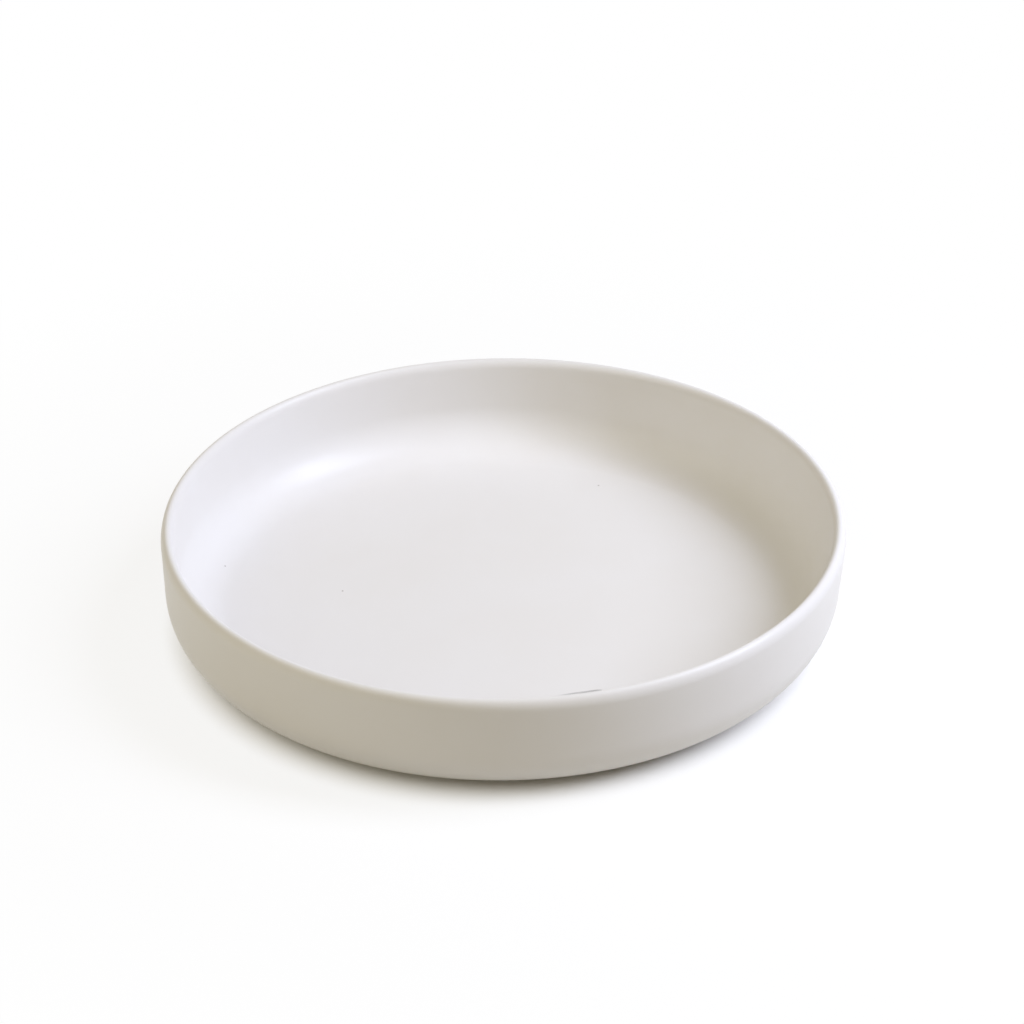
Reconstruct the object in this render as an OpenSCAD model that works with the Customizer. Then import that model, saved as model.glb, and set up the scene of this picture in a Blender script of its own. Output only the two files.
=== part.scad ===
// Deep plate in satin white stoneware: a flat floor, a swept corner, a near-upright wall and a round lip,
// standing on a bare foot ring. Every size is taken over the glaze, in millimetres, with +Z up.
// The origin lies on the table, under the middle of the plate.

/* [Plate] */
// Outer diameter, over the lip
plate_d = 220; // [180:1:280]
// Height from the table to the top of the lip
plate_h = 38; // [32:0.5:60]
// Thickness of the floor
base_t = 4.6; // [3.5:0.1:7]

/* [Wall] */
// Thickness of the round lip
lip_t = 3.8; // [3:0.1:6]
// Lean of the outer face, in degrees from upright, narrowing downwards
outer_draft = 3; // [0:0.1:8]
// Lean of the inner face, in degrees from upright, narrowing downwards
inner_draft = 5; // [0:0.1:10]
// Radius of the outer corner between wall and underside
corner_r = 16; // [8:0.5:20]
// Radius of the inner sweep from floor to wall
fillet_r = 16; // [8:0.5:20]

/* [Foot ring] */
// Height of the underside over the table
foot_h = 2; // [1.4:0.1:4]
// Width of the ring between its two coves
foot_w = 4.4; // [3:0.1:8]
// Distance from the end of the outer corner in to the ring's outer side
foot_setback = 12; // [5:0.5:30]
// Bevel along both edges of the standing face
foot_bevel = 0.5; // [0.2:0.05:0.6]

/* [Glaze] */
// Thickness of the glaze
glaze_t = 0.4; // [0.2:0.05:0.6]
// Height over the table at which the glaze stops on the ring's sides
glaze_line = 0.9; // [0.7:0.05:1.2]

/* [Hidden] */
$fn = 180;

// Arcs stand proud of the straights that run into them by this much, so that the two cross and never just graze
blend = 0.002;
// Room by which cutting shapes reach past what they cut
margin = 5;

clay_color = [0.82, 0.77, 0.69];
glaze_color = [0.91, 0.90, 0.89];

lip_r = lip_t / 2;
floor_z = foot_h + base_t;
mid_base_z = foot_h + base_t / 2;

// Directions out of the wall, to its outer and to its inner side, as [radius, height]
outward = [cos(outer_draft), -sin(outer_draft)];
inward = [-cos(inner_draft), sin(inner_draft)];
down = [0, -1];

// Centres of the section's arcs, which the body and its glaze share
lip_c = [plate_d / 2 - lip_r, plate_h - lip_r];
corner_c = centre_beside_wall(outward, lip_r - corner_r, foot_h + corner_r);
fillet_c = centre_beside_wall(inward, lip_r + fillet_r, floor_z + fillet_r);

foot_middle_r = corner_c.x - foot_setback - foot_w / 2;
// Distance from the ring's middle to the centres of its coves
cove_c_reach = foot_w / 2 + foot_h + glaze_t;

// Centre at height z of an arc that lies reach away from the lip's centre, measured along the wall's direction
function centre_beside_wall(direction, reach, z) =
    [(direction * lip_c + reach - direction.y * z) / direction.x, z];

// Point where a straight runs into the arc of radius r about centre
function tangent_point(centre, r, direction) = centre + (r - blend) * direction;

// Outside of the plate, filled to the axis. depth is the distance under the glazed surface.
module outer_form(depth) {
    r = corner_r - depth;
    underside = tangent_point(corner_c, r, down);
    polygon([
        [0, underside.y],
        underside,
        tangent_point(corner_c, r, outward),
        tangent_point(lip_c, lip_r - depth, outward),
        lip_c,
        tangent_point(lip_c, lip_r - depth, inward),
        [0, lip_c.y]
    ]);
    translate(corner_c) circle(r);
}

// Hollow of the plate, from the floor to over the lip
module well(depth) {
    r = fillet_r + depth;
    floor_edge = tangent_point(fillet_c, r, down);
    wall_top = tangent_point(lip_c, lip_r - depth, inward);
    polygon([
        [0, floor_edge.y],
        floor_edge,
        tangent_point(fillet_c, r, -inward),
        wall_top,
        [wall_top.x, plate_h + margin],
        [0, plate_h + margin]
    ]);
    translate(fillet_c) circle(r);
}

// Foot ring, with a cove on each side that sweeps up into the underside
module foot_ring(depth) {
    translate([foot_middle_r, 0]) difference() {
        translate([-cove_c_reach, 0]) square([2 * cove_c_reach, mid_base_z]);
        for (side = [-1, 1])
            translate([side * cove_c_reach, 0]) circle(foot_h + depth + 2 * blend);
    }
}

// What the bevels take off both edges of the standing face
module foot_bevels() {
    cut = 2 * foot_bevel;
    translate([foot_middle_r, 0])
        for (side = [0, 1])
            mirror([side, 0]) translate([foot_w / 2 - foot_bevel, 0]) rotate(45)
                translate([0, -cut]) square(cut);
}

// Half section of the plate at a depth under its glazed surface
module section(depth) {
    difference() {
        union() {
            outer_form(depth);
            foot_ring(depth);
        }
        well(depth);
    }
    translate(lip_c) circle(lip_r - depth);
}

// Half section of all the glaze, which stops short of the table on the foot ring
module glaze_section() {
    difference() {
        section(0);
        section(glaze_t);
        square([plate_d, 2 * glaze_line], center = true);
    }
}

// Underside that the foot ring encloses
module inside_foot_ring() {
    translate([0, -margin]) square([foot_middle_r, mid_base_z + margin]);
}

module clay_body() {
    color(clay_color) rotate_extrude() difference() {
        section(glaze_t);
        foot_bevels();
    }
}

module glaze_coat() {
    color(glaze_color) rotate_extrude() difference() {
        glaze_section();
        inside_foot_ring();
    }
}

module base_glaze() {
    color(glaze_color) rotate_extrude() intersection() {
        glaze_section();
        inside_foot_ring();
    }
}

clay_body();
glaze_coat();
base_glaze();
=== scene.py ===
"""Deep plate of satin white glazed stoneware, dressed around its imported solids.

The plate is three pieces turned about one axis: the fired clay body, the glaze that covers it inside and
out, and the round field of glaze that the foot ring encloses. Lengths are in metres, angles in degrees,
and a point of the half section is (radius, height).
"""

import logging
import math
from collections.abc import Mapping
from dataclasses import dataclass, field
from enum import Enum
from typing import Any

import bmesh
import bpy
from mathutils import Matrix, Vector


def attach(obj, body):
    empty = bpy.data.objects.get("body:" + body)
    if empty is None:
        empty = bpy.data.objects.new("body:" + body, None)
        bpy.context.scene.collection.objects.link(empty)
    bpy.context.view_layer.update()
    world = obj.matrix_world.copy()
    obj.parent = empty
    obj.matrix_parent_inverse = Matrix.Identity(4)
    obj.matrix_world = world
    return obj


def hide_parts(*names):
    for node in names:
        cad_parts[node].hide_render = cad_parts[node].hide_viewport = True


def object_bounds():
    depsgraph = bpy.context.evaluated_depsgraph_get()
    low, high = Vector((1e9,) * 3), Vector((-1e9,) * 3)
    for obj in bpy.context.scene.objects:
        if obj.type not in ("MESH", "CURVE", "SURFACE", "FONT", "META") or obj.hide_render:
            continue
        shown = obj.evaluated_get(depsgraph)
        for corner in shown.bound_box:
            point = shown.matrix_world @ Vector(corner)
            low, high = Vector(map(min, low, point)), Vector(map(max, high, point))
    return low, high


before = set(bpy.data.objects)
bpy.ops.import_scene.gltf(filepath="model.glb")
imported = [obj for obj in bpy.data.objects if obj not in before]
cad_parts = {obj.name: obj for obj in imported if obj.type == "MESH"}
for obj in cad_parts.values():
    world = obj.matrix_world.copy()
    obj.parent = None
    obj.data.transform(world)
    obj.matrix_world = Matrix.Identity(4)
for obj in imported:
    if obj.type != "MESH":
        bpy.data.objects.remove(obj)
cad_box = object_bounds()

log = logging.getLogger("deep plate")

Point = tuple[float, float]
Place = tuple[float, float, float]
Colour = tuple[float, float, float]
Socket = bpy.types.NodeSocket
Sockets = bpy.types.NodeOutputs
Value = Socket | float | bool | tuple[float, ...]
Inputs = Mapping[str | int, Value]

# Longest step along a round stretch of the section, and the fewest steps in one.
ARC_STEP = 5.0
FEWEST_STEPS = 2

QUARTER_TURN = 90.0
HALF_TURN = 180.0

# Directions in the section, from straight outwards.
STRAIGHT_DOWN = -QUARTER_TURN
STRAIGHT_UP = QUARTER_TURN

# Middle of a noise texture, which is also how far the noise goes to either side of it.
NOISE_MIDDLE = 0.5

# Stretch of a noise texture over which clouds come up.
CLOUD_NOISE: Point = (0.3, 0.7)

WHITE: Colour = (1.0, 1.0, 1.0)


class RingSide(Enum):
    """A side of the foot ring, as the sign of the way from its middle."""

    OUTER = 1
    INNER = -1

    def toward_ring(self, rise: float) -> float:
        """Direction from the centre of this side's cove to the ring, rise degrees up from the table."""
        return STRAIGHT_UP + self.value * (QUARTER_TURN - rise)


class MixKind(Enum):
    """What a Mix node mixes, as its data type and the numbers of its two inputs and its result."""

    NUMBERS = ("FLOAT", 2, 3, 0)
    COLOURS = ("RGBA", 6, 7, 2)


def opaque(colour: Colour) -> tuple[float, float, float, float]:
    """A colour with full alpha."""
    return *colour, 1.0


@dataclass
class NodeSheet:
    """A node tree, with short calls that add nodes and join them.

    Attributes:
        tree: The tree that the calls work on.
    """

    tree: bpy.types.NodeTree

    def add(self, kind: str, inputs: Inputs | None = None, **settings: Any) -> bpy.types.Node:
        """Adds a node.

        Args:
            kind: The node's type.
            inputs: Sockets to link from, or plain values, by the input's name or number.
            **settings: The node's own properties.

        Returns:
            The new node.
        """
        node = self.tree.nodes.new(kind)
        for name, value in settings.items():
            setattr(node, name, value)
        for key, value in (inputs or {}).items():
            self.feed(node.inputs[key], value)
        return node

    def feed(self, socket: Socket, value: Value) -> None:
        """Links a socket to an input, or sets the input to a plain value.

        Args:
            socket: The input.
            value: The socket to link from, or the plain value.
        """
        if isinstance(value, Socket):
            self.tree.links.new(value, socket)
        else:
            socket.default_value = value

    def result(self, kind: str, inputs: Inputs | None = None, **settings: Any) -> Socket:
        """Adds a node and returns the first thing that it puts out."""
        return self.add(kind, inputs, **settings).outputs[0]

    def math(self, operation: str, *terms: Value) -> Socket:
        """Adds a Math node on these terms and returns its result."""
        return self.result("ShaderNodeMath", dict(enumerate(terms)), operation=operation)

    def whole(self, operation: str, *terms: Value) -> Socket:
        """Adds an Integer Math node on these terms and returns its result."""
        return self.result("FunctionNodeIntegerMath", dict(enumerate(terms)), operation=operation)

    def vector(self, operation: str, *terms: Value) -> Socket:
        """Adds a Vector Math node on these terms and returns the new vector."""
        return self.result("ShaderNodeVectorMath", dict(enumerate(terms)), operation=operation)

    def scaled(self, vector: Value, factor: Value) -> Socket:
        """Adds a Vector Math node that scales a vector and returns the new vector."""
        return self.result("ShaderNodeVectorMath", {0: vector, "Scale": factor}, operation="SCALE")

    def measure(self, operation: str, *terms: Value) -> Socket:
        """Adds a Vector Math node that measures these terms and returns the number."""
        node = self.add("ShaderNodeVectorMath", dict(enumerate(terms)), operation=operation)
        return node.outputs["Value"]

    def parts(self, vector: Value) -> Sockets:
        """Adds a Separate XYZ node and returns the vector's three parts."""
        return self.add("ShaderNodeSeparateXYZ", {"Vector": vector}).outputs

    def noise(self, position: Value, scale: Value, detail: float) -> Socket:
        """Adds a noise texture and returns its value."""
        inputs = {"Vector": position, "Scale": scale, "Detail": detail}
        return self.add("ShaderNodeTexNoise", inputs).outputs["Fac"]

    def ramp(
        self, value: Value, low: Value, high: Value, to_low: float = 0.0, to_high: float = 1.0
    ) -> Socket:
        """Adds a smooth ramp.

        Args:
            value: What the ramp reads.
            low: Where the ramp starts.
            high: Where the ramp ends.
            to_low: The result up to low.
            to_high: The result from high on.

        Returns:
            The ramp's result.
        """
        inputs = {"Value": value, "From Min": low, "From Max": high, "To Min": to_low, "To Max": to_high}
        return self.add("ShaderNodeMapRange", inputs, interpolation_type="SMOOTHSTEP").outputs["Result"]

    def mix(self, kind: MixKind, share: Value, first: Value, second: Value) -> Socket:
        """Adds a mix.

        Args:
            kind: What is mixed.
            share: Share of the second in the mix.
            first: The first number or colour.
            second: The second number or colour.

        Returns:
            The mixed number or colour.
        """
        data_type, first_input, second_input, result = kind.value
        inputs = {"Factor": share, first_input: first, second_input: second}
        return self.add("ShaderNodeMix", inputs, data_type=data_type).outputs[result]

    def tint(self, mask: Value, under: Value, colour: Colour) -> Socket:
        """Lays a plain colour over another by a mask and returns the mixed colour."""
        return self.mix(MixKind.COLOURS, mask, under, opaque(colour))

    def faces(self, inputs: Mapping[str, str], outputs: Mapping[str, str]) -> tuple[Sockets, bpy.types.Node]:
        """Gives the tree its named inputs and outputs.

        Args:
            inputs: Socket types by the inputs' names.
            outputs: Socket types by the outputs' names.

        Returns:
            The group's input sockets by name, and its output node.
        """
        for name, kind in inputs.items():
            self.tree.interface.new_socket(name, in_out="INPUT", socket_type=kind)
        for name, kind in outputs.items():
            self.tree.interface.new_socket(name, in_out="OUTPUT", socket_type=kind)
        return self.add("NodeGroupInput").outputs, self.add("NodeGroupOutput")


def turns(start: float, end: float) -> list[float]:
    """Directions from one to another in small even steps.

    Args:
        start: First direction, in degrees from straight outwards.
        end: Last direction.

    Returns:
        The directions in radians, with both ends.
    """
    steps = max(FEWEST_STEPS, math.ceil(abs(end - start) / ARC_STEP))
    return [math.radians(start + (end - start) * step / steps) for step in range(steps + 1)]


def point_at(centre: Point, reach: float, way: float) -> Point:
    """Point that lies this far from a centre, in a direction in radians."""
    return centre[0] + reach * math.cos(way), centre[1] + reach * math.sin(way)


def arc(centre: Point, radius: float, start: float, end: float) -> list[Point]:
    """Points along a round stretch of the section, with both ends, by directions from its centre."""
    return [point_at(centre, radius, way) for way in turns(start, end)]


@dataclass
class PlateSection:
    """Half section of the plate. Its sizes are taken over the glaze.

    Attributes:
        radius: Radius over the lip.
        height: Height from the table to the top of the lip.
        base: Thickness of the floor.
        lip: Thickness of the oval lip at its widest place.
        lip_rise: Height of the crest over that place.
        outer_draft: Lean of the outer face, narrowing downwards.
        inner_draft: Lean of the inner face, narrowing downwards.
        corner: Radius of the outer corner between wall and underside.
        fillet: Radius of the inner sweep from floor to wall.
        foot_height: Height of the underside over the table.
        foot_width: Width of the ring between its two coves.
        foot_setback: Distance from the end of the outer corner in to the ring.
        foot_round: Radius along both edges of the standing face.
        glaze: Thickness of the glaze.
        glaze_line: Height over the table at which the glaze stops.
    """

    radius: float
    height: float
    base: float = 0.0046
    lip: float = 0.0042
    lip_rise: float = 0.0036
    outer_draft: float = 3.0
    inner_draft: float = 5.0
    corner: float = 0.016
    fillet: float = 0.016
    foot_height: float = 0.002
    foot_width: float = 0.0044
    foot_setback: float = 0.012
    foot_round: float = 0.0005
    glaze: float = 0.0004
    glaze_line: float = 0.0009

    @property
    def floor_height(self) -> float:
        """Height of the glazed floor over the table."""
        return self.foot_height + self.base

    @property
    def lip_centre(self) -> Point:
        """Centre of the lip's oval."""
        return self.radius - self.lip / 2, self.height - self.lip_rise

    @property
    def corner_centre(self) -> Point:
        """Centre of the outer corner's arc."""
        return self.centre_beside_wall(-self.outer_draft, -self.corner, self.foot_height + self.corner)

    @property
    def fillet_centre(self) -> Point:
        """Centre of the inner sweep's arc."""
        direction = HALF_TURN - self.inner_draft
        return self.centre_beside_wall(direction, self.fillet, self.floor_height + self.fillet)

    @property
    def glaze_stop(self) -> float:
        """Where the glaze ends in a cove.

        Returns:
            Direction up from the table in which the cove's centre sees the middle of the glaze's edge.
        """
        # The foremost point of the round edge lies at the height of the glaze line.
        middle = self.foot_height + self.glaze / 2
        edge_reach = math.hypot(middle, self.glaze / 2)
        return math.degrees(math.asin(self.glaze_line / edge_reach) + math.atan2(self.glaze / 2, middle))

    @property
    def clay_stop(self) -> float:
        """Direction up from the table in which a cove's centre sees the clay's rounded foot edge begin."""
        return math.degrees(math.asin(self.foot_round / (self.foot_height + self.glaze + self.foot_round)))

    def lip_reach(self, way: float) -> float:
        """Distance from the lip's centre to the line that touches the lip and lies square to a direction."""
        return math.hypot(self.lip / 2 * math.cos(way), self.lip_rise * math.sin(way))

    def lip_curve(self, depth: float) -> list[Point]:
        """Oval of the lip, from the inner wall over the crest to the outer wall.

        Args:
            depth: Distance under the glazed surface.

        Returns:
            The lip's points.
        """
        points = []
        # The point of the oval that faces each way is set back by the depth along that way.
        for way in turns(HALF_TURN - self.inner_draft, -self.outer_draft):
            reach = self.lip_reach(way)
            out = ((self.lip / 2) ** 2 / reach - depth) * math.cos(way)
            up = (self.lip_rise**2 / reach - depth) * math.sin(way)
            points.append((self.lip_centre[0] + out, self.lip_centre[1] + up))
        return points

    def centre_beside_wall(self, direction: float, reach: float, height: float) -> Point:
        """Centre of an arc that a wall runs into.

        Args:
            direction: Direction square to the wall and out of the clay.
            reach: Distance from the wall to the centre, in that direction.
            height: Height of the centre over the table.

        Returns:
            The centre.
        """
        way = math.radians(direction)
        drop = self.lip_centre[1] - height
        whole = self.lip_reach(way) + reach + drop * math.sin(way)
        return self.lip_centre[0] + whole / math.cos(way), height

    def cove_centre(self, side: RingSide) -> Point:
        """Centre of the cove on one side of the foot ring, on the table."""
        middle = self.corner_centre[0] - self.foot_setback - self.foot_width / 2
        return middle + side.value * (self.foot_width / 2 + self.foot_height + self.glaze), 0.0

    def cove(self, side: RingSide, depth: float, stop: float) -> list[Point]:
        """Cove from the underside, at this depth under the glaze, down to the direction at which it stops."""
        return arc(self.cove_centre(side), self.foot_height + depth, STRAIGHT_UP, side.toward_ring(stop))

    def bowl_side(self, depth: float, cove_stop: float) -> list[Point]:
        """Surface from the axis over floor, wall, lip, outer wall and corner to the foot ring.

        Args:
            depth: Distance under the glazed surface.
            cove_stop: Direction up from the table at which the cove ends.

        Returns:
            The surface's points.
        """
        return [
            (0.0, self.floor_height - depth),
            *arc(self.fillet_centre, self.fillet + depth, STRAIGHT_DOWN, -self.inner_draft),
            *self.lip_curve(depth),
            *arc(self.corner_centre, self.corner - depth, -self.outer_draft, STRAIGHT_DOWN),
            *self.cove(RingSide.OUTER, depth, cove_stop),
        ]

    def base_side(self, depth: float, cove_stop: float) -> list[Point]:
        """Underside from the axis to the inner side of the foot ring, as bowl_side gives the other side."""
        return [(0.0, self.foot_height + depth), *self.cove(RingSide.INNER, depth, cove_stop)]

    def glaze_edge(self, side: RingSide) -> list[Point]:
        """Round edge in which the glaze ends.

        Args:
            side: Side of the foot ring.

        Returns:
            The edge's points, from the glazed surface to the clay.
        """
        direction = side.toward_ring(self.glaze_stop)
        reach = self.foot_height + self.glaze / 2
        middle = point_at(self.cove_centre(side), reach, math.radians(direction))
        return arc(middle, self.glaze / 2, direction + HALF_TURN * side.value, direction)

    def foot_edge(self, side: RingSide) -> list[Point]:
        """Rounded edge of the bare standing face.

        Args:
            side: Side of the foot ring.

        Returns:
            The edge's points, from the cove to the table.
        """
        # The edge's circle stands on the table and touches the cove's circle from outside.
        cove = self.foot_height + self.glaze
        reach = math.sqrt(cove**2 + 2 * cove * self.foot_round)
        middle = self.cove_centre(side)[0] - side.value * reach, self.foot_round
        start = STRAIGHT_DOWN + side.value * (QUARTER_TURN - self.clay_stop)
        return arc(middle, self.foot_round, start, STRAIGHT_DOWN)

    def clay_outline(self) -> list[Point]:
        """Outline of the clay body.

        Returns:
            The outline's points, from the axis round to the axis.
        """
        outer_side = [*self.bowl_side(self.glaze, self.clay_stop), *self.foot_edge(RingSide.OUTER)]
        inner_side = [*self.base_side(self.glaze, self.clay_stop), *self.foot_edge(RingSide.INNER)]
        return [*outer_side, *reversed(inner_side)]

    def coat_outline(self) -> list[Point]:
        """Outline of the glaze inside and out, from the axis round to the axis."""
        under = self.bowl_side(self.glaze, self.glaze_stop)
        return [*self.bowl_side(0.0, self.glaze_stop), *self.glaze_edge(RingSide.OUTER), *reversed(under)]

    def base_outline(self) -> list[Point]:
        """Outline of the glaze inside the foot ring, from the axis round to the axis."""
        under = self.base_side(self.glaze, self.glaze_stop)
        return [*self.base_side(0.0, self.glaze_stop), *self.glaze_edge(RingSide.INNER), *reversed(under)]


@dataclass
class TurningWheel:
    """Turns outlines about the axis, with the faint waver of a piece that has been through the kiln.

    Attributes:
        segments: Faces around the axis.
        longest_run: Longest straight stretch without a ring of edges.
        lean: How far the lip stands off the axis, to +X and to +Y.
        waver: How far the wall and lip stray from true in waves.
        waver_size: Size of those waves.
        stray_from: Height up to which the plate is true.
        stray_to: Height from which it strays in full.
        crease: Angle from which an edge is shaded as sharp.
        weld: Distance within which points are joined.
        seed: Picks the waves.
        tree: The node tree that turns every piece.
    """

    segments: int = 288
    longest_run: float = 0.006
    lean: Point = (0.0007, -0.0003)
    waver: float = 0.00015
    waver_size: float = 0.09
    stray_from: float = 0.008
    stray_to: float = 0.036
    crease: float = 50.0
    weld: float = 0.000001
    seed: float = 4.0
    tree: bpy.types.NodeTree = field(init=False)

    def __post_init__(self) -> None:
        """Builds the tree that every piece shares."""
        self.tree = bpy.data.node_groups.new("turn about the axis", "GeometryNodeTree")
        sheet = NodeSheet(self.tree)
        inputs = {
            "Outline": "NodeSocketGeometry",
            "Segments": "NodeSocketInt",
            "Material": "NodeSocketMaterial",
            "Lean": "NodeSocketVector",
        }
        sizes = ("Longest Run", "Waver", "Waver Size", "Stray From", "Stray To", "Crease", "Weld", "Seed")
        inputs.update(dict.fromkeys(sizes, "NodeSocketFloat"))
        given, output = sheet.faces(inputs, {"Piece": "NodeSocketGeometry"})
        section = self.divided_section(sheet, given)
        turned = self.turned_section(sheet, given, section)
        strayed = self.strayed_piece(sheet, given, turned)
        shaded = self.shaded_piece(sheet, given, strayed)
        realized = sheet.result("GeometryNodeRealizeInstances", {"Geometry": shaded})
        finish = {"Geometry": realized, "Material": given["Material"]}
        sheet.feed(output.inputs["Piece"], sheet.result("GeometryNodeSetMaterial", finish))

    def divided_section(self, sheet: NodeSheet, given: Sockets) -> Socket:
        """Makes the outline a curve whose long straights are divided.

        Args:
            sheet: The tree.
            given: The tree's inputs.

        Returns:
            The divided curve.
        """
        joined = {"Geometry": given["Outline"], "Distance": given["Weld"]}
        outline = sheet.result("GeometryNodeMergeByDistance", joined)
        curve = sheet.result("GeometryNodeMeshToCurve", {"Mesh": outline})
        along = sheet.add("GeometryNodeSplineParameter").outputs["Length"]
        following = sheet.whole("ADD", sheet.result("GeometryNodeInputIndex"), 1)
        along_next = sheet.result("GeometryNodeFieldAtIndex", {"Index": following, "Value": along})
        # Nothing follows the last point, so its run is 0.
        run = sheet.math("MAXIMUM", sheet.math("SUBTRACT", along_next, along), 0.0)
        cuts = sheet.math("FLOOR", sheet.math("DIVIDE", run, given["Longest Run"]))
        return sheet.result("GeometryNodeSubdivideCurve", {"Curve": curve, "Cuts": cuts})

    def turned_section(self, sheet: NodeSheet, given: Sockets, section: Socket) -> Socket:
        """Turns the section about the axis.

        Args:
            sheet: The tree.
            given: The tree's inputs.
            section: The section's curve.

        Returns:
            The turned mesh, not yet joined along its seam.
        """
        sizes = sheet.add("GeometryNodeAttributeDomainSize", {"Geometry": section}, component="CURVE")
        count = sizes.outputs["Point Count"]
        columns = sheet.whole("ADD", given["Segments"], 1)
        grid = sheet.result("GeometryNodeMeshGrid", {"Vertices X": columns, "Vertices Y": count})
        # Each column of the grid, numbered in turn, is one copy of the section.
        index = sheet.result("GeometryNodeInputIndex")
        wanted = {
            "Geometry": section,
            "Value": sheet.result("GeometryNodeInputPosition"),
            "Index": sheet.whole("MODULO", index, count),
        }
        point = sheet.parts(sheet.result("GeometryNodeSampleIndex", wanted, data_type="FLOAT_VECTOR"))
        column = sheet.whole("DIVIDE_FLOOR", index, count)
        turn = sheet.math("DIVIDE", sheet.math("MULTIPLY", column, math.tau), given["Segments"])
        across = sheet.math("MULTIPLY", point["X"], sheet.math("COSINE", turn))
        deep = sheet.math("MULTIPLY", point["X"], sheet.math("SINE", turn))
        place = sheet.result("ShaderNodeCombineXYZ", {"X": across, "Y": deep, "Z": point["Z"]})
        return sheet.result("GeometryNodeSetPosition", {"Geometry": grid, "Position": place})

    def strayed_piece(self, sheet: NodeSheet, given: Sockets, piece: Socket) -> Socket:
        """Lets the wall and lip lean and waver a little.

        Args:
            sheet: The tree.
            given: The tree's inputs.
            piece: The true piece.

        Returns:
            The piece as it came out of the kiln.
        """
        position = sheet.result("GeometryNodeInputPosition")
        height = sheet.parts(position)["Z"]
        scale = sheet.math("DIVIDE", 1.0, given["Waver Size"])
        pattern = {"Vector": position, "W": given["Seed"], "Scale": scale, "Detail": 1.0}
        waves = sheet.add("ShaderNodeTexNoise", pattern, noise_dimensions="4D").outputs["Color"]
        centred = sheet.vector("SUBTRACT", waves, (NOISE_MIDDLE, NOISE_MIDDLE, NOISE_MIDDLE))
        wavered = sheet.scaled(centred, sheet.math("DIVIDE", given["Waver"], NOISE_MIDDLE))
        whole = sheet.vector("ADD", wavered, given["Lean"])
        offset = sheet.scaled(whole, sheet.ramp(height, given["Stray From"], given["Stray To"]))
        return sheet.result("GeometryNodeSetPosition", {"Geometry": piece, "Offset": offset})

    def shaded_piece(self, sheet: NodeSheet, given: Sockets, piece: Socket) -> Socket:
        """Closes the piece along its seam and on the axis, and shades it smooth between sharp edges.

        Args:
            sheet: The tree.
            given: The tree's inputs.
            piece: The open piece.

        Returns:
            The closed piece.
        """
        closed = sheet.result("GeometryNodeMergeByDistance", {"Geometry": piece, "Distance": given["Weld"]})
        smooth = sheet.result("GeometryNodeSetShadeSmooth", {"Geometry": closed, "Shade Smooth": True})
        angle = sheet.add("GeometryNodeInputMeshEdgeAngle").outputs["Unsigned Angle"]
        sharp = sheet.math("GREATER_THAN", angle, given["Crease"])
        creases = {"Geometry": smooth, "Selection": sharp, "Shade Smooth": False}
        return sheet.result("GeometryNodeSetShadeSmooth", creases, domain="EDGE")

    def settings(self, material: bpy.types.Material) -> dict[str, Any]:
        """Collects what the tree is given.

        Args:
            material: The piece's material.

        Returns:
            The values of the tree's inputs by name.
        """
        return {
            "Segments": self.segments,
            "Material": material,
            "Longest Run": self.longest_run,
            "Lean": (*self.lean, 0.0),
            "Waver": self.waver,
            "Waver Size": self.waver_size,
            "Stray From": self.stray_from,
            "Stray To": self.stray_to,
            "Crease": math.radians(self.crease),
            "Weld": self.weld,
            "Seed": self.seed,
        }

    def turn(self, name: str, outline: list[Point], material: bpy.types.Material) -> bpy.types.Object:
        """Turns an outline into a piece with a plain closed mesh.

        Args:
            name: The piece's name.
            outline: The outline, from the axis round to the axis.
            material: The piece's material.

        Returns:
            The piece, at the origin.
        """
        blank_mesh = bpy.data.meshes.new(f"{name}_outline")
        links = [(number, number + 1) for number in range(len(outline) - 1)]
        blank_mesh.from_pydata([(radius, 0.0, height) for radius, height in outline], links, [])
        blank = bpy.data.objects.new(f"{name}_outline", blank_mesh)
        bpy.context.scene.collection.objects.link(blank)
        modifier = blank.modifiers.new("turning", "NODES")
        modifier.node_group = self.tree
        values = self.settings(material)
        for socket in self.tree.interface.items_tree:
            if socket.in_out == "INPUT" and socket.name in values:
                modifier[socket.identifier] = values[socket.name]
        depsgraph = bpy.context.evaluated_depsgraph_get()
        mesh = bpy.data.meshes.new_from_object(blank.evaluated_get(depsgraph))
        bpy.data.objects.remove(blank)
        bpy.data.meshes.remove(blank_mesh)
        point_outwards(mesh)
        mesh.name = name
        piece = bpy.data.objects.new(name, mesh)
        bpy.context.scene.collection.objects.link(piece)
        return piece


def point_outwards(mesh: bpy.types.Mesh) -> None:
    """Turns the faces of a closed mesh outwards.

    Args:
        mesh: The mesh.
    """
    work = bmesh.new()
    work.from_mesh(mesh)
    bmesh.ops.recalc_face_normals(work, faces=work.faces)
    work.to_mesh(mesh)
    work.free()


def mottle_group() -> bpy.types.NodeTree:
    """Builds the shared group for soft, cloudy changes of tone.

    Returns:
        A group that puts out a share from 0 to 1.
    """
    tree = bpy.data.node_groups.new("cloudy mottle", "ShaderNodeTree")
    sheet = NodeSheet(tree)
    inputs = {"Position": "NodeSocketVector", "Size": "NodeSocketFloat"}
    given, output = sheet.faces(inputs, {"Share": "NodeSocketFloat"})
    clouds = sheet.noise(given["Position"], sheet.math("DIVIDE", 1.0, given["Size"]), detail=3.0)
    sheet.feed(output.inputs["Share"], sheet.ramp(clouds, *CLOUD_NOISE))
    return tree


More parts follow.
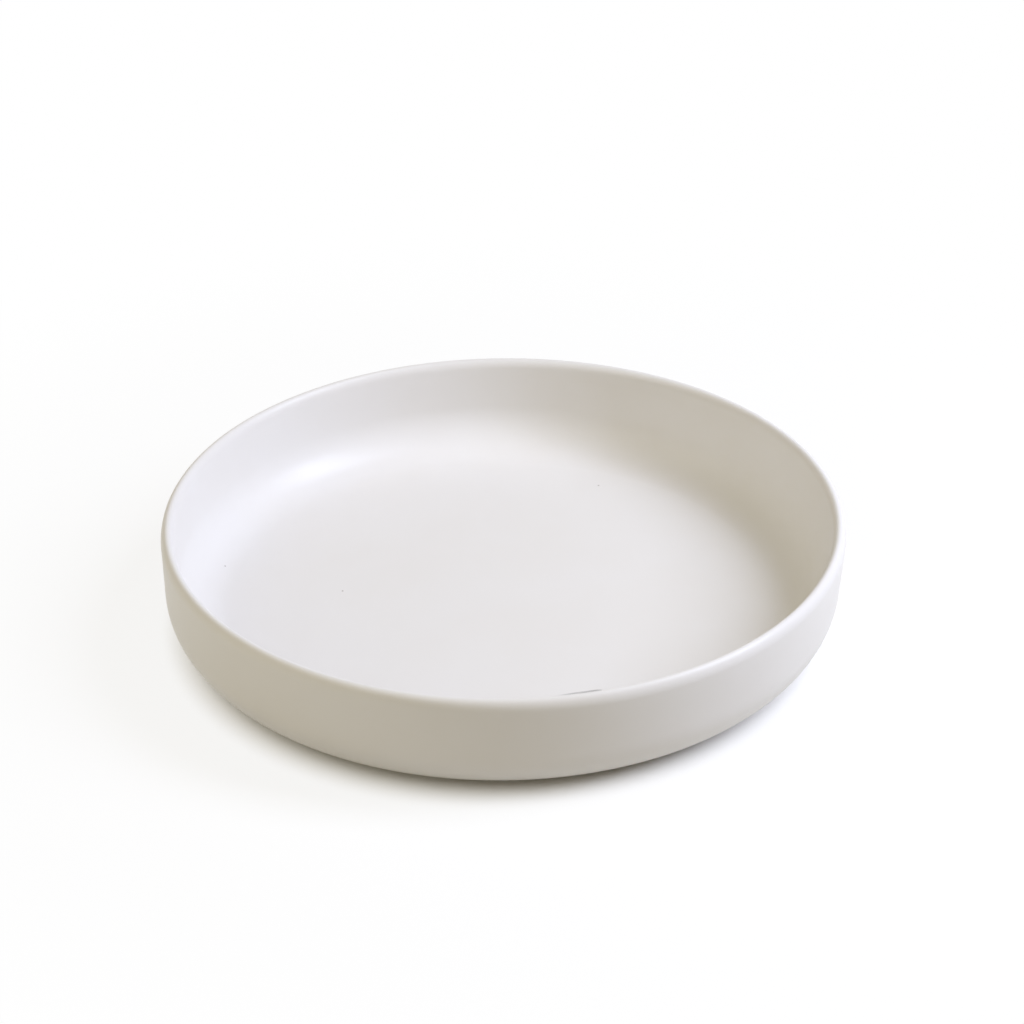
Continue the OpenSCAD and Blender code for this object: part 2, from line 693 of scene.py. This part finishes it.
def grain_group() -> bpy.types.NodeTree:
    """Builds the shared group for a skin with broad dimples and fine grain.

    Returns:
        A group that puts out a height from 0 to 1.
    """
    tree = bpy.data.node_groups.new("dimples and grain", "ShaderNodeTree")
    sheet = NodeSheet(tree)
    layer_sizes = ("Dimple Size", "Grain Size")
    sizes = dict.fromkeys((*layer_sizes, "Grain Share"), "NodeSocketFloat")
    given, output = sheet.faces({"Position": "NodeSocketVector", **sizes}, {"Height": "NodeSocketFloat"})
    layers = []
    for size in layer_sizes:
        scale = sheet.math("DIVIDE", 1.0, given[size])
        layers.append(sheet.noise(given["Position"], scale, detail=2.0))
    height = sheet.mix(MixKind.NUMBERS, given["Grain Share"], *layers)
    sheet.feed(output.inputs["Height"], height)
    return tree


@dataclass
class Effects:
    """The node groups that the finishes share.

    Attributes:
        mottle: Group for soft, cloudy changes of tone.
        grain: Group for a skin with broad dimples and fine grain.
    """

    mottle: bpy.types.NodeTree = field(default_factory=mottle_group)
    grain: bpy.types.NodeTree = field(default_factory=grain_group)

    def clouds(self, sheet: NodeSheet, position: Socket, size: float) -> Socket:
        """Places the mottle in a material and returns the clouds' share."""
        inputs = {"Position": position, "Size": size}
        return sheet.result("ShaderNodeGroup", inputs, node_tree=self.mottle)


@dataclass(frozen=True)
class Skin:
    """Relief of a surface: broad dimples and fine grain.

    Attributes:
        dimple_size: Size of the broad dimples.
        grain_size: Size of the fine grain.
        grain_share: Share of the fine grain in the relief.
        depth: Depth of dimples and grain.
    """

    dimple_size: float
    grain_size: float
    grain_share: float
    depth: float

    def normal(self, sheet: NodeSheet, effects: Effects, position: Socket) -> Socket:
        """Raises the relief in a material.

        Args:
            sheet: The material's tree.
            effects: The shared groups.
            position: The piece's own coordinates.

        Returns:
            The normal of the raised surface.
        """
        inputs = {
            "Position": position,
            "Dimple Size": self.dimple_size,
            "Grain Size": self.grain_size,
            "Grain Share": self.grain_share,
        }
        height = sheet.result("ShaderNodeGroup", inputs, node_tree=effects.grain)
        return sheet.result("ShaderNodeBump", {"Strength": 1.0, "Distance": self.depth, "Height": height})


def new_material(name: str) -> tuple[bpy.types.Material, NodeSheet, Socket]:
    """Makes an empty material.

    Args:
        name: The material's name.

    Returns:
        The material, its tree, and the piece's own coordinates.
    """
    material = bpy.data.materials.new(name)
    material.use_nodes = True
    material.node_tree.nodes.clear()
    sheet = NodeSheet(material.node_tree)
    return material, sheet, sheet.add("ShaderNodeTexCoord").outputs["Object"]


@dataclass(frozen=True)
class Specks:
    """Small dark specks in the glaze.

    Attributes:
        places: Where they are.
        radius: Radius of a speck.
        colour: Their tone.
    """

    places: tuple[Place, ...] = (
        (-0.0917, 0.0194, 0.0073),
        (-0.0522, 0.0044, 0.0066),
        (0.0334, 0.0727, 0.0066),
    )
    radius: float = 0.0004
    colour: Colour = (0.400, 0.375, 0.340)

    def mask(self, sheet: NodeSheet, position: Socket) -> Socket:
        """Draws the specks.

        Args:
            sheet: The material's tree.
            position: The piece's own coordinates.

        Returns:
            A mask of the specks.
        """
        nearest, *others = [sheet.measure("DISTANCE", position, place) for place in self.places]
        for reach in others:
            nearest = sheet.math("MINIMUM", nearest, reach)
        return sheet.ramp(nearest, self.radius / 2, self.radius, to_low=1.0, to_high=0.0)


@dataclass(frozen=True)
class GreyFloorStreak:
    """Streaky grey mark on the floor, tapered to both ends.

    Attributes:
        floor: Height of the floor that carries the mark.
        floor_reach: How far over and under that height it is drawn.
        start: Its faint end.
        end: Its strong end.
        width: Its width where it is broadest.
        least_half_width: Half its width where it is narrowest.
        soft_edge: Stretch over which its sides fade out, in half widths from its middle.
        fade_in: Share of its length up to which it comes up at the faint end.
        narrow_from: Share of its length from which it narrows to the strong end.
        tip_width: Share of the width that is left at that end.
        fade_out: Share of its length from which it fades out at that end.
        streak_length: Length of its fine streaks.
        streak_width: Width of those streaks.
        streak_noise: Stretch of the noise over which the streaks come up.
        gap_strength: Strength of the mark between the streaks.
        colour: Its tone.
    """

    floor: float
    floor_reach: float = 0.001
    start: Point = (0.0150, -0.0592)
    end: Point = (0.0315, -0.0558)
    width: float = 0.0015
    least_half_width: float = 0.00001
    soft_edge: Point = (0.5, 1.2)
    fade_in: float = 0.5
    narrow_from: float = 0.88
    tip_width: float = 0.3
    fade_out: float = 0.96
    streak_length: float = 0.004
    streak_width: float = 0.0003
    streak_noise: Point = (0.3, 0.6)
    gap_strength: float = 0.4
    colour: Colour = (0.440, 0.425, 0.415)

    def mask(self, sheet: NodeSheet, position: Socket) -> Socket:
        """Draws the mark.

        Args:
            sheet: The material's tree.
            position: The piece's own coordinates.

        Returns:
            A mask of the mark.
        """
        run = Vector(self.end) - Vector(self.start)
        turned = {
            "Vector": position,
            "Location": (*self.start, self.floor),
            "Rotation": (0.0, 0.0, math.atan2(run.y, run.x)),
        }
        place = sheet.result("ShaderNodeMapping", turned, vector_type="TEXTURE")
        along, across, up = sheet.parts(place)
        form = self.form(sheet, sheet.math("DIVIDE", along, run.length), across)
        drawn = sheet.math("MULTIPLY", form, self.streaks(sheet, place))
        on_floor = sheet.math("LESS_THAN", sheet.math("ABSOLUTE", up), self.floor_reach)
        return sheet.math("MULTIPLY", drawn, on_floor)

    def form(self, sheet: NodeSheet, share: Socket, across: Socket) -> Socket:
        """Draws the mark's soft outline.

        Args:
            sheet: The material's tree.
            share: Share of the mark's length.
            across: Distance from the mark's middle line.

        Returns:
            A mask of the outline.
        """
        narrowing = sheet.ramp(share, self.narrow_from, 1.0, to_low=1.0, to_high=self.tip_width)
        taper = sheet.math("MULTIPLY", sheet.math("SQRT", share), narrowing)
        tapered = sheet.math("MULTIPLY", taper, self.width / 2)
        half_width = sheet.math("MAXIMUM", tapered, self.least_half_width)
        aside = sheet.math("DIVIDE", sheet.math("ABSOLUTE", across), half_width)
        line = sheet.ramp(aside, *self.soft_edge, to_low=1.0, to_high=0.0)
        faint_end = sheet.ramp(share, 0.0, self.fade_in)
        strong_end = sheet.ramp(share, self.fade_out, 1.0, to_low=1.0, to_high=0.0)
        return sheet.math("MULTIPLY", line, sheet.math("MULTIPLY", faint_end, strong_end))

    def streaks(self, sheet: NodeSheet, place: Socket) -> Socket:
        """Draws the fine streaks that run along the mark.

        Args:
            sheet: The material's tree.
            place: Coordinates along the mark, across it and up.

        Returns:
            A mask of the streaks.
        """
        stretch = (1.0 / self.streak_length, 1.0 / self.streak_width, 0.0)
        noise = sheet.noise(sheet.vector("MULTIPLY", place, stretch), scale=1.0, detail=1.0)
        return sheet.ramp(noise, *self.streak_noise, to_low=self.gap_strength)


@dataclass(frozen=True)
class SatinGlaze:
    """Satin white glaze, with faint clouds, a few specks and one grey streak on the floor.

    Attributes:
        mark: The grey streak on the floor.
        specks: The specks.
        colour: Main tone.
        warm_colour: Tone of the clouds.
        refraction: Index of refraction.
        gloss: Strength of the mirrored light, where 0.5 is that of plain glass.
        roughness: Roughness of the clean glaze.
        cloud_roughness: Roughness in the clouds.
        cloud_size: Size of the clouds.
        skin: Relief of the surface.
    """

    mark: GreyFloorStreak
    specks: Specks = Specks()
    colour: Colour = (0.803, 0.789, 0.771)
    warm_colour: Colour = (0.795, 0.778, 0.755)
    refraction: float = 1.5
    gloss: float = 0.22
    roughness: float = 0.32
    cloud_roughness: float = 0.35
    cloud_size: float = 0.035
    skin: Skin = Skin(dimple_size=0.0030, grain_size=0.0005, grain_share=0.15, depth=0.000008)

    def material(self, effects: Effects) -> bpy.types.Material:
        """Builds the glaze.

        Args:
            effects: The shared groups.

        Returns:
            The material.
        """
        material, sheet, position = new_material("satin white glaze")
        clouds = effects.clouds(sheet, position, self.cloud_size)
        tone = sheet.tint(clouds, opaque(self.colour), self.warm_colour)
        specked = sheet.tint(self.specks.mask(sheet, position), tone, self.specks.colour)
        marked = sheet.tint(self.mark.mask(sheet, position), specked, self.mark.colour)
        surface = {
            "Base Color": marked,
            "Roughness": sheet.ramp(clouds, 0.0, 1.0, to_low=self.roughness, to_high=self.cloud_roughness),
            "IOR": self.refraction,
            "Specular IOR Level": self.gloss,
            "Normal": self.skin.normal(sheet, effects, position),
        }
        shader = sheet.result("ShaderNodeBsdfPrincipled", surface)
        sheet.add("ShaderNodeOutputMaterial", {"Surface": shader})
        return material


@dataclass(frozen=True)
class FiredClay:
    """Bare fired stoneware, matt and gritty, with grains of darker clay in it.

    Attributes:
        colour: Main tone.
        pale_colour: Tone of the clouds.
        grain_colour: Tone of the darker grains.
        roughness: Roughness of the bare clay.
        cloud_roughness: Roughness in the clouds.
        cloud_size: Size of the clouds.
        grain_spacing: Mean distance between places for a grain.
        grain_radius: Radius of a grain.
        grain_share: Share of those places that have a grain.
        skin: Relief of the surface, with pits between fine grit.
    """

    colour: Colour = (0.600, 0.510, 0.390)
    pale_colour: Colour = (0.660, 0.580, 0.470)
    grain_colour: Colour = (0.330, 0.240, 0.160)
    roughness: float = 0.88
    cloud_roughness: float = 0.80
    cloud_size: float = 0.012
    grain_spacing: float = 0.0011
    grain_radius: float = 0.0003
    grain_share: float = 0.45
    skin: Skin = Skin(dimple_size=0.0009, grain_size=0.0003, grain_share=0.5, depth=0.00008)

    def material(self, effects: Effects) -> bpy.types.Material:
        """Builds the clay.

        Args:
            effects: The shared groups.

        Returns:
            The material.
        """
        material, sheet, position = new_material("bare fired clay")
        clouds = effects.clouds(sheet, position, self.cloud_size)
        tone = sheet.tint(clouds, opaque(self.colour), self.pale_colour)
        surface = {
            "Base Color": sheet.tint(self.grain_mask(sheet, position), tone, self.grain_colour),
            "Roughness": sheet.ramp(clouds, 0.0, 1.0, to_low=self.roughness, to_high=self.cloud_roughness),
            "Normal": self.skin.normal(sheet, effects, position),
        }
        shader = sheet.result("ShaderNodeBsdfPrincipled", surface)
        sheet.add("ShaderNodeOutputMaterial", {"Surface": shader})
        return material

    def grain_mask(self, sheet: NodeSheet, position: Socket) -> Socket:
        """Strews the darker grains.

        Args:
            sheet: The material's tree.
            position: The piece's own coordinates.

        Returns:
            A mask of the grains.
        """
        cells = sheet.add("ShaderNodeTexVoronoi", {"Vector": position, "Scale": 1.0 / self.grain_spacing})
        reach = sheet.math("MULTIPLY", cells.outputs["Distance"], self.grain_spacing)
        dot = sheet.ramp(reach, self.grain_radius / 2, self.grain_radius, to_low=1.0, to_high=0.0)
        draw = sheet.result("ShaderNodeSeparateColor", {"Color": cells.outputs["Color"]})
        return sheet.math("MULTIPLY", dot, sheet.math("LESS_THAN", draw, self.grain_share))


@dataclass
class ClayBody:
    """The fired clay body, bare only on its foot ring.

    Attributes:
        section: The plate's section.
        wheel: What turns it.
        finish: The bare clay.
    """

    section: PlateSection
    wheel: TurningWheel
    finish: FiredClay

    def build(self, effects: Effects) -> bpy.types.Object:
        """Turns and dresses the body, and sets it in the frame.

        Args:
            effects: The shared groups.

        Returns:
            The piece.
        """
        material = self.finish.material(effects)
        piece = self.wheel.turn("fired_clay_body", self.section.clay_outline(), material)
        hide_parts("clay_body")
        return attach(piece, "root")


@dataclass
class GlazeLayer:
    """The satin glaze: the coat inside and out, and the field inside the foot ring.

    Attributes:
        section: The plate's section.
        wheel: What turns it.
        finish: The glaze.
    """

    section: PlateSection
    wheel: TurningWheel
    finish: SatinGlaze

    def build(self, effects: Effects) -> list[bpy.types.Object]:
        """Turns and dresses both fields of glaze, and sets them in the frame.

        Args:
            effects: The shared groups.

        Returns:
            The pieces.
        """
        material = self.finish.material(effects)
        fields = {
            "glaze_coat": self.section.coat_outline(),
            "base_glaze": self.section.base_outline(),
        }
        pieces = []
        for node, outline in fields.items():
            piece = self.wheel.turn(f"satin_{node}", outline, material)
            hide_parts(node)
            pieces.append(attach(piece, "root"))
        return pieces


def turn_about(axis: str, angle: float) -> Matrix:
    """A turn by an angle about an axis."""
    return Matrix.Rotation(math.radians(angle), 4, axis)


@dataclass(frozen=True)
class SoftLamp:
    """A soft box that points at the plate.

    Attributes:
        name: The lamp's name.
        azimuth: Direction from the plate, from +X towards +Y.
        elevation: Height over the table's plane.
        distance: Distance from the plate.
        width: Length of its level sides.
        height: Length of its upright sides.
        turn: How far it is turned about the line to the plate.
        power: Its power in watts.
        colour: Its colour.
    """

    name: str
    azimuth: float
    elevation: float
    distance: float
    width: float
    height: float
    turn: float
    power: float
    colour: Colour

    def build(self) -> None:
        """Makes the lamp."""
        data = bpy.data.lights.new(self.name, "AREA")
        data.shape = "RECTANGLE"
        data.size = self.width
        data.size_y = self.height
        data.energy = self.power
        data.color = self.colour
        lamp = bpy.data.objects.new(self.name, data)
        side = math.radians(self.azimuth)
        rise = math.radians(self.elevation)
        way = Vector((math.cos(side) * math.cos(rise), math.sin(side) * math.cos(rise), math.sin(rise)))
        aimed = Matrix.Translation(way * self.distance) @ way.to_track_quat("Z", "Y").to_matrix().to_4x4()
        lamp.matrix_world = aimed @ turn_about("Z", self.turn)
        lamp.visible_camera = False
        bpy.context.scene.collection.objects.link(lamp)


def shows_background(sheet: NodeSheet) -> Socket:
    """Tells the rays that show the background from those that only light the plate.

    Args:
        sheet: The tree of a material or of the world.

    Returns:
        1 for a ray from the camera, off gloss or through glass, and 0 for the rest.
    """
    path = sheet.add("ShaderNodeLightPath").outputs
    glossy = sheet.math("MAXIMUM", path["Is Glossy Ray"], path["Is Transmission Ray"])
    return sheet.math("MAXIMUM", path["Is Camera Ray"], glossy)


@dataclass
class Studio:
    """Camera, light and floor.

    Attributes:
        aim: Point at the middle of the picture.
        distance: Distance from the camera to that point.
        elevation: How far the camera looks down.
        roll: How far the camera is turned about its own line of sight.
        focal_length: The lens, in millimetres on a sensor 36 mm wide.
        lamps: The lamps.
        ambient: Colour and level of the light from all around.
        floor_bounce: Colour that the floor throws back at the plate.
        floor_size: Length of the floor's sides.
        shadow_from: Radius up to which the floor shows its shadow in full.
        shadow_to: Radius from which it shows a share of it.
        shadow_share: That share.
        floor_fade: Radius at which the floor has faded to plain white.
    """

    aim: Place = (0.00348, 0.01678, 0.02883)
    distance: float = 1.1
    elevation: float = 30.21
    roll: float = -0.432
    focal_length: float = 118.12
    lamps: tuple[SoftLamp, ...] = (
        SoftLamp(
            name="key",
            azimuth=-3.0,
            elevation=45.0,
            distance=1.2,
            width=0.40,
            height=0.90,
            turn=-20.0,
            power=16.2,
            colour=(0.775, 0.828, 1.000),
        ),
        SoftLamp(
            name="fill",
            azimuth=-150.0,
            elevation=40.0,
            distance=1.2,
            width=1.20,
            height=1.20,
            turn=0.0,
            power=5.5,
            colour=(1.000, 0.970, 0.840),
        ),
    )
    ambient: Colour = (0.21, 0.17, 0.10)
    floor_bounce: Colour = (0.66, 0.64, 0.58)
    floor_size: float = 8.0
    shadow_from: float = 0.096
    shadow_to: float = 0.112
    shadow_share: float = 0.16
    floor_fade: float = 0.3

    def build(self) -> None:
        """Makes the camera, the lamps, the world and the floor."""
        bpy.context.scene.view_settings.view_transform = "Standard"
        self.make_camera()
        for lamp in self.lamps:
            lamp.build()
        self.make_world()
        self.make_floor()

    def make_camera(self) -> None:
        """Sets the camera where the photograph was taken."""
        data = bpy.data.cameras.new("camera")
        data.lens = self.focal_length
        camera = bpy.data.objects.new("camera", data)
        # An unturned camera looks straight down.
        turned = turn_about("X", QUARTER_TURN - self.elevation) @ turn_about("Z", self.roll)
        back = turned.to_3x3() @ Vector((0.0, 0.0, self.distance))
        camera.matrix_world = Matrix.Translation(Vector(self.aim) + back) @ turned
        bpy.context.scene.collection.objects.link(camera)
        bpy.context.scene.camera = camera

    def make_world(self) -> None:
        """Lights the plate from all around, in front of a white background."""
        world = bpy.data.worlds.new("studio")
        world.use_nodes = True
        world.node_tree.nodes.clear()
        sheet = NodeSheet(world.node_tree)
        colour = sheet.tint(shows_background(sheet), opaque(self.ambient), WHITE)
        background = sheet.result("ShaderNodeBackground", {"Color": colour})
        sheet.add("ShaderNodeOutputWorld", {"Surface": background})
        bpy.context.scene.world = world

    def make_floor(self) -> None:
        """Lays the pale floor, which keeps the plate's shadow."""
        half = self.floor_size / 2
        corners = [(-half, -half, 0.0), (half, -half, 0.0), (half, half, 0.0), (-half, half, 0.0)]
        mesh = bpy.data.meshes.new("floor")
        mesh.from_pydata(corners, [], [range(len(corners))])
        floor = bpy.data.objects.new("floor", mesh)
        bpy.context.scene.collection.objects.link(floor)
        mesh.materials.append(self.floor_material())

    def floor_material(self) -> bpy.types.Material:
        """Builds the floor's material.

        Returns:
            White to the eye, a warm table top to the light that it throws back.
        """
        material, sheet, position = new_material("pale floor")
        out = sheet.measure("LENGTH", position)
        near = sheet.ramp(out, self.shadow_from, self.shadow_to, to_high=1.0 - self.shadow_share)
        far = sheet.ramp(out, self.shadow_to, self.floor_fade, to_high=self.shadow_share)
        faded = sheet.math("ADD", near, far)
        shadowed = sheet.result("ShaderNodeBsdfDiffuse", {"Color": opaque(WHITE)})
        glow = sheet.result("ShaderNodeEmission", {"Color": opaque(WHITE), "Strength": 1.0})
        shown = sheet.result("ShaderNodeMixShader", {0: faded, 1: shadowed, 2: glow})
        bounce = sheet.result("ShaderNodeBsdfDiffuse", {"Color": opaque(self.floor_bounce)})
        mixed = sheet.result("ShaderNodeMixShader", {0: shows_background(sheet), 1: bounce, 2: shown})
        sheet.add("ShaderNodeOutputMaterial", {"Surface": mixed})
        return material


def main() -> None:
    """Builds the plate and the studio, and reports each piece."""
    logging.basicConfig(level=logging.INFO, format="%(name)s: %(message)s")
    low, high = cad_box
    section = PlateSection(radius=(high.x - low.x) / 2, height=high.z)
    wheel = TurningWheel()
    effects = Effects()
    body = ClayBody(section, wheel, FiredClay())
    mark = GreyFloorStreak(floor=section.floor_height)
    glaze = GlazeLayer(section, wheel, SatinGlaze(mark))
    for piece in [body.build(effects), *glaze.build(effects)]:
        log.info("%s has %d faces", piece.name, len(piece.data.polygons))
    Studio().build()


if __name__ == "__main__":
    main()
